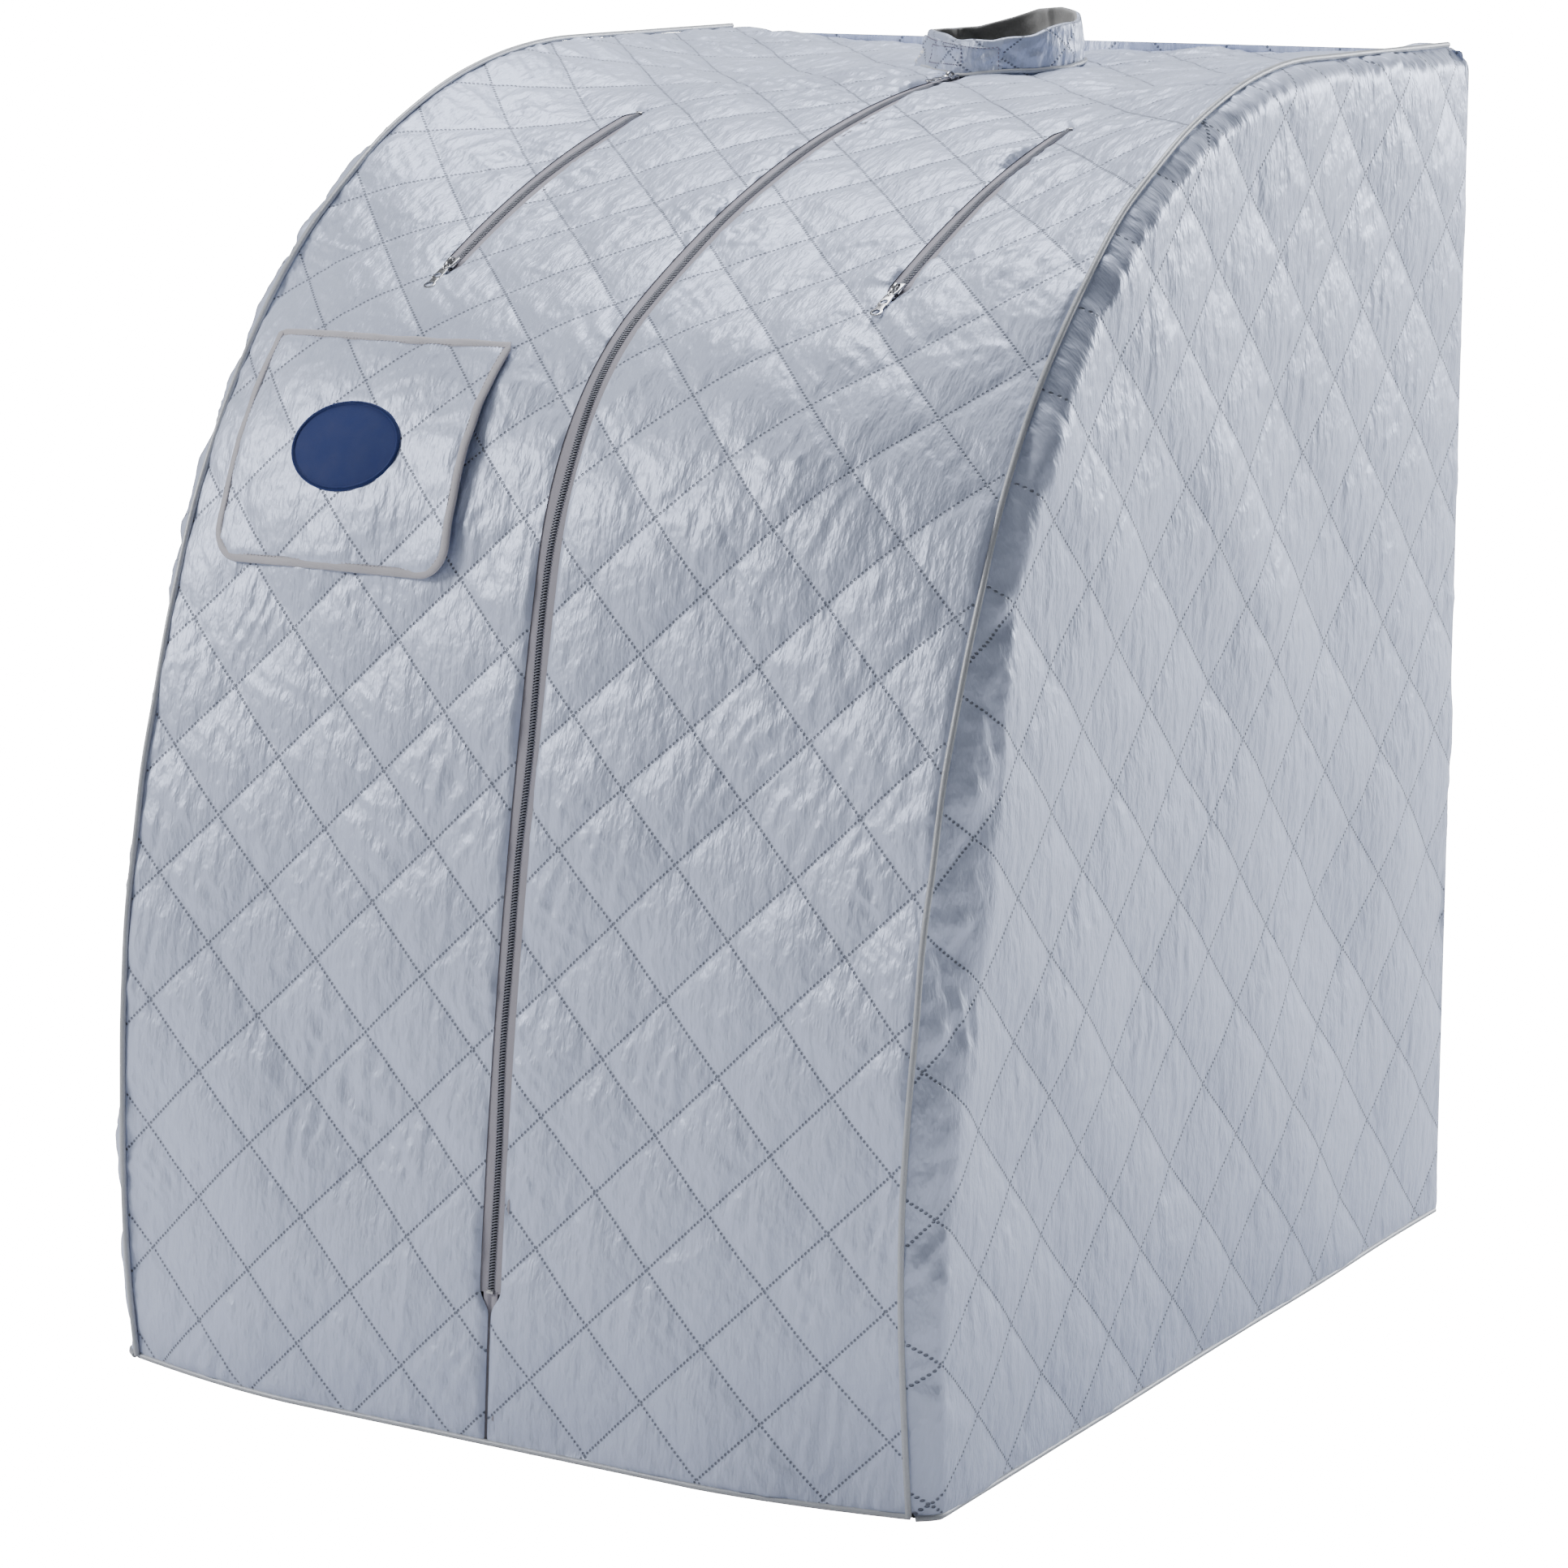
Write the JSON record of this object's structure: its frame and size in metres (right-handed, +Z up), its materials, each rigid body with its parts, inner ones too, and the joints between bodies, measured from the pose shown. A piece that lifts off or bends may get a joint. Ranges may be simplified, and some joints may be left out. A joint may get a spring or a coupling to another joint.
{
  "type": "portable steam sauna",
  "caption": "Folding one-person steam sauna cabin: quilted silver cloth over an arched tube frame, with a neck collar, a long front zip and two arm zips.",
  "frame": {"origin": "middle of the footprint, on the ground", "axes": "+Z up, -Y towards the front with the long zip, +X to the right of a person facing the front"},
  "size_m": [0.7094, 0.8914, 0.979],
  "materials": {
    "quilted_cloth": "silver-grey satin, quilted in diamonds",
    "collar_cloth": "silver-grey satin, padded",
    "floor_cloth": "grey coated cloth",
    "piping_cord": "grey bias tape",
    "zip_tape": "mauve-grey woven tape",
    "zip_teeth": "grey nylon coil",
    "zip_metal": "nickel plated",
    "patch_cloth": "dark blue embroidered patch, no lettering",
    "frame_paint": "light grey powder coat",
    "connector_plastic": "black moulded plastic",
    "pin_steel": "plated steel",
    "inlet_plastic": "pale grey moulded plastic",
    "tie_tape": "grey webbing"
  },
  "bodies": {
    "right_side": {"front_cover_right": "quilted_cloth", "front_cover_left": "quilted_cloth", "front_seam": "quilted_cloth", "roof_seam": "quilted_cloth", "back_panel": "quilted_cloth", "floor_panel": "floor_cloth", "base_piping": "piping_cord", "pocket_panel": "quilted_cloth", "pocket_binding": "piping_cord", "pocket_patch": "patch_cloth", "side_panel_right": "quilted_cloth", "piping_right": "piping_cord", "front_post_right": "frame_paint", "roof_tube_right": "frame_paint", "back_post_right": "frame_paint", "base_rail_right": "frame_paint", "frame_elbows_right": "connector_plastic", "frame_ties_right": "tie_tape", "pivot_brackets_right": "connector_plastic"},
    "left_side": {"side_panel_left": "quilted_cloth", "piping_left": "piping_cord", "steam_inlet": "inlet_plastic", "front_post_left": "frame_paint", "roof_tube_left": "frame_paint", "back_post_left": "frame_paint", "base_rail_left": "frame_paint", "frame_elbows_left": "connector_plastic", "frame_ties_left": "tie_tape", "pivot_brackets_left": "connector_plastic"},
    "back_middle_right": {"back_middle_bar_right": "frame_paint", "back_middle_pin": "pin_steel"},
    "back_middle_left": {"back_middle_bar_left": "frame_paint"},
    "back_bottom_right": {"back_bottom_bar_right": "frame_paint", "back_bottom_pin": "pin_steel"},
    "back_bottom_left": {"back_bottom_bar_left": "frame_paint"},
    "back_top_right": {"back_top_bar_right": "frame_paint", "back_top_pin": "pin_steel"},
    "back_top_left": {"back_top_bar_left": "frame_paint"},
    "front_bottom_right": {"front_bottom_bar_right": "frame_paint", "front_bottom_pin": "pin_steel"},
    "front_bottom_left": {"front_bottom_bar_left": "frame_paint"},
    "main_zip_line": {"main_zip_tapes": "zip_tape", "main_zip_coils": "zip_teeth", "main_zip_stops": "zip_teeth", "collar_band": "collar_cloth"},
    "main_zip_slider": {"main_zip_slider": "zip_metal"},
    "main_zip_pull": {"main_zip_pull": "zip_metal"},
    "arm_zip_right_line": {"arm_zip_right_tapes": "zip_tape", "arm_zip_right_coils": "zip_teeth", "arm_zip_right_stops": "zip_teeth"},
    "arm_zip_right_slider": {"arm_zip_right_slider": "zip_metal"},
    "arm_zip_right_pull": {"arm_zip_right_pull": "zip_metal"},
    "arm_zip_left_line": {"arm_zip_left_tapes": "zip_tape", "arm_zip_left_coils": "zip_teeth", "arm_zip_left_stops": "zip_teeth"},
    "arm_zip_left_slider": {"arm_zip_left_slider": "zip_metal"},
    "arm_zip_left_pull": {"arm_zip_left_pull": "zip_metal"},
    "collar_tab": {"collar_tab": "collar_cloth"}
  },
  "joints": [
    {"name": "fold", "type": "hinge", "parent": "right_side", "child": "back_middle_right", "pos_m": [0.308, 0.425, 0.48], "axis": [0, 0, 1], "range_deg": [0, 76], "deforming": ["front_cover_right", "front_cover_left", "front_seam", "roof_seam", "back_panel", "floor_panel", "base_piping", "pocket_panel", "pocket_binding", "pocket_patch"]},
    {"name": "back_middle_knuckle", "type": "hinge", "parent": "back_middle_right", "child": "back_middle_left", "pos_m": [0, 0.425, 0.48], "axis": [0, 0, 1], "range_deg": [-152, 0]},
    {"name": "left_side_pivot", "type": "hinge", "parent": "back_middle_left", "child": "left_side", "pos_m": [-0.308, 0.425, 0.48], "axis": [0, 0, 1], "range_deg": [0, 76]},
    {"name": "back_bottom_right_pivot", "type": "hinge", "parent": "right_side", "child": "back_bottom_right", "pos_m": [0.308, 0.425, 0.048], "axis": [0, 0, 1], "range_deg": [0, 76]},
    {"name": "back_bottom_knuckle", "type": "hinge", "parent": "back_bottom_right", "child": "back_bottom_left", "pos_m": [0, 0.425, 0.048], "axis": [0, 0, 1], "range_deg": [-152, 0]},
    {"name": "back_top_right_pivot", "type": "hinge", "parent": "right_side", "child": "back_top_right", "pos_m": [0.308, 0.425, 0.86], "axis": [0, 0, 1], "range_deg": [0, 76]},
    {"name": "back_top_knuckle", "type": "hinge", "parent": "back_top_right", "child": "back_top_left", "pos_m": [0, 0.425, 0.86], "axis": [0, 0, 1], "range_deg": [-152, 0]},
    {"name": "front_bottom_right_pivot", "type": "hinge", "parent": "right_side", "child": "front_bottom_right", "pos_m": [0.308, -0.396, 0.048], "axis": [0, 0, 1], "range_deg": [-76, 0]},
    {"name": "front_bottom_knuckle", "type": "hinge", "parent": "front_bottom_right", "child": "front_bottom_left", "pos_m": [0, -0.396, 0.048], "axis": [0, 0, 1], "range_deg": [0, 152]},
    {"name": "main_zip_shift", "type": "slide", "parent": "right_side", "child": "main_zip_line", "axis": [1, 0, 0], "range_m": [0, 0.2337]},
    {"name": "main_zip_travel", "type": "hinge", "parent": "main_zip_line", "child": "main_zip_slider", "pos_m": [0, 0.31752, -0.14898], "axis": [1, 0, 0], "range_deg": [0, 24.5]},
    {"name": "main_zip_pull_swing", "type": "hinge", "parent": "main_zip_slider", "child": "main_zip_pull", "pos_m": [0, 0.22272, 0.93629], "axis": [-1, 0, 0], "range_deg": [0, 110]},
    {"name": "arm_zip_right_shift", "type": "slide", "parent": "right_side", "child": "arm_zip_right_line", "axis": [1, 0, 0], "range_m": [0, 0.1069]},
    {"name": "arm_zip_right_travel", "type": "hinge", "parent": "arm_zip_right_line", "child": "arm_zip_right_slider", "pos_m": [0.19, 0.31752, -0.14898], "axis": [-1, 0, 0], "range_deg": [0, 14.1]},
    {"name": "arm_zip_right_pull_swing", "type": "hinge", "parent": "arm_zip_right_slider", "child": "arm_zip_right_pull", "pos_m": [0.19, -0.19567, 0.81197], "axis": [-1, 0, 0], "range_deg": [0, 150]},
    {"name": "arm_zip_left_shift", "type": "slide", "parent": "right_side", "child": "arm_zip_left_line", "axis": [1, 0, 0], "range_m": [0, 0.3604]},
    {"name": "arm_zip_left_travel", "type": "hinge", "parent": "arm_zip_left_line", "child": "arm_zip_left_slider", "pos_m": [-0.19, 0.31752, -0.14898], "axis": [-1, 0, 0], "range_deg": [0, 14.1]},
    {"name": "arm_zip_left_pull_swing", "type": "hinge", "parent": "arm_zip_left_slider", "child": "arm_zip_left_pull", "pos_m": [-0.19, -0.19567, 0.81197], "axis": [-1, 0, 0], "range_deg": [0, 150]},
    {"name": "collar_tab_peel", "type": "hinge", "parent": "main_zip_line", "child": "collar_tab", "pos_m": [0.03263, 0.24763, 0.96], "axis": [0, 0, 1], "range_deg": [0, 100]}
  ],
  "couplings": [
    {"joint": "back_middle_knuckle", "follows": "fold", "ratio": -2},
    {"joint": "back_bottom_right_pivot", "follows": "fold", "ratio": 1},
    {"joint": "back_bottom_knuckle", "follows": "fold", "ratio": -2},
    {"joint": "back_top_right_pivot", "follows": "fold", "ratio": 1},
    {"joint": "back_top_knuckle", "follows": "fold", "ratio": -2},
    {"joint": "front_bottom_right_pivot", "follows": "fold", "ratio": -1},
    {"joint": "front_bottom_knuckle", "follows": "fold", "ratio": 2},
    {"joint": "left_side_pivot", "follows": "fold", "ratio": 1},
    {"joint": "main_zip_shift", "follows": "fold", "m_per_rad": 0.17602},
    {"joint": "arm_zip_right_shift", "follows": "fold", "m_per_rad": 0.08047},
    {"joint": "arm_zip_left_shift", "follows": "fold", "m_per_rad": 0.27158}
  ]
}
